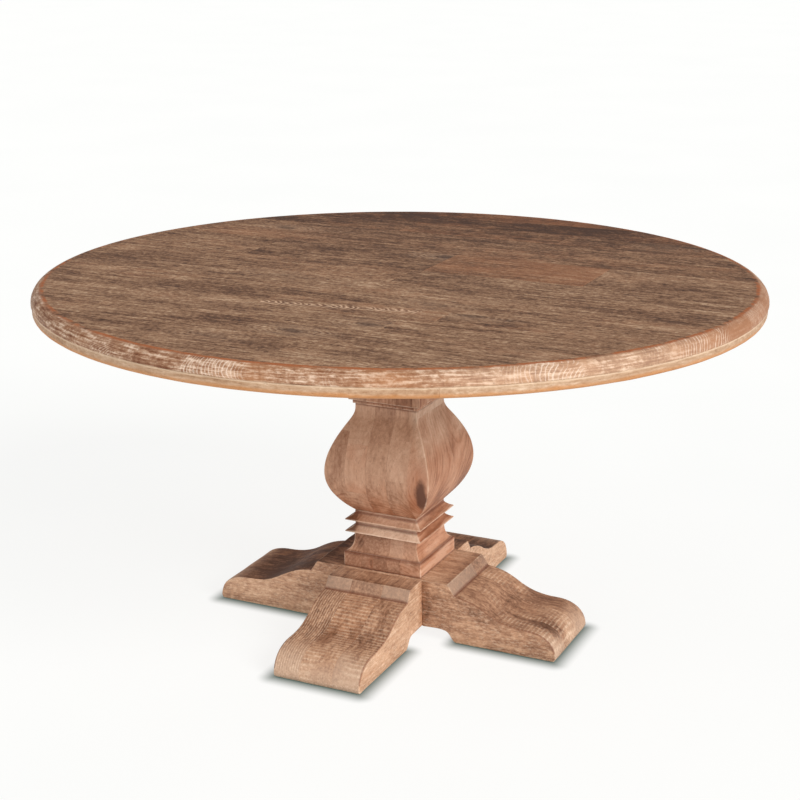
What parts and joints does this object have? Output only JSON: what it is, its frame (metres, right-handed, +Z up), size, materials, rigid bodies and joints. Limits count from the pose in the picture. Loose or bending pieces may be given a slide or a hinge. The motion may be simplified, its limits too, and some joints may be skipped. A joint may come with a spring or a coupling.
{
  "type": "round pedestal table",
  "caption": "Round wooden dining table: a boarded top with a rounded, built-up edge on a square urn-shaped column and a cross of scroll feet.",
  "frame": {"origin": "on the floor, under the centre of the table", "axes": "+Z up; the boards of the top run along X; the two beams of the cross base lie along X and Y"},
  "size_m": [1.5, 1.4999, 0.762],
  "materials": {
    "top_wood": "wire-brushed hardwood with a matt greyed brown stain",
    "rim_wood": "lighter tan hardwood with limed grain, matt",
    "column_wood": "rubbed tan brown hardwood, worn pale on the edges",
    "base_wood": "rubbed tan brown hardwood with saw marks, worn pale on the edges",
    "plain_wood": "planed, unstained",
    "dowel_wood": "turned, unstained",
    "zinc_steel": "zinc plated",
    "insert_brass": "machined",
    "felt": "dense wool felt"
  },
  "bodies": {
    "root": {"top_board_01_1": "top_wood", "top_board_02_1": "top_wood", "top_board_02_2": "top_wood", "top_board_03_1": "top_wood", "top_board_04_1": "top_wood", "top_board_04_2": "top_wood", "top_board_05_1": "top_wood", "top_board_05_2": "top_wood", "top_board_05_3": "top_wood", "top_board_06_1": "top_wood", "top_board_07_1": "top_wood", "top_board_07_2": "top_wood", "top_board_08_1": "top_wood", "top_board_08_2": "top_wood", "top_board_09_1": "top_wood", "top_board_09_2": "top_wood", "top_board_09_3": "top_wood", "top_board_09_4": "top_wood", "top_board_10_1": "top_wood", "top_board_11_1": "top_wood", "top_board_12_1": "top_wood", "top_board_12_2": "top_wood", "top_board_12_3": "top_wood", "top_board_13_1": "top_wood", "top_board_14_1": "top_wood", "rim_segment_1": "rim_wood", "rim_segment_2": "rim_wood", "rim_segment_3": "rim_wood", "rim_segment_4": "rim_wood", "rim_segment_5": "rim_wood", "rim_segment_6": "rim_wood", "bearer_x": "plain_wood", "bearer_y": "plain_wood", "batten_left": "plain_wood", "batten_right": "plain_wood", "mounting_plate": "plain_wood", "capital": "column_wood", "urn_layer_1": "column_wood", "urn_layer_2": "column_wood", "urn_layer_3": "column_wood", "urn_layer_4": "column_wood", "urn_layer_5": "column_wood", "upper_fin": "column_wood", "lower_fin": "column_wood", "collar": "column_wood", "plinth_block": "column_wood", "base_beam_x": "base_wood", "base_beam_y": "base_wood", "tie_rod": "zinc_steel", "rod_nuts": "zinc_steel", "rod_washers": "zinc_steel", "plate_bolts": "zinc_steel", "bolt_washers": "zinc_steel", "bearer_screws": "zinc_steel", "batten_screws": "zinc_steel", "plate_screws": "zinc_steel", "threaded_inserts": "insert_brass", "base_dowels": "dowel_wood", "felt_pads": "felt"}
  },
  "joints": []
}
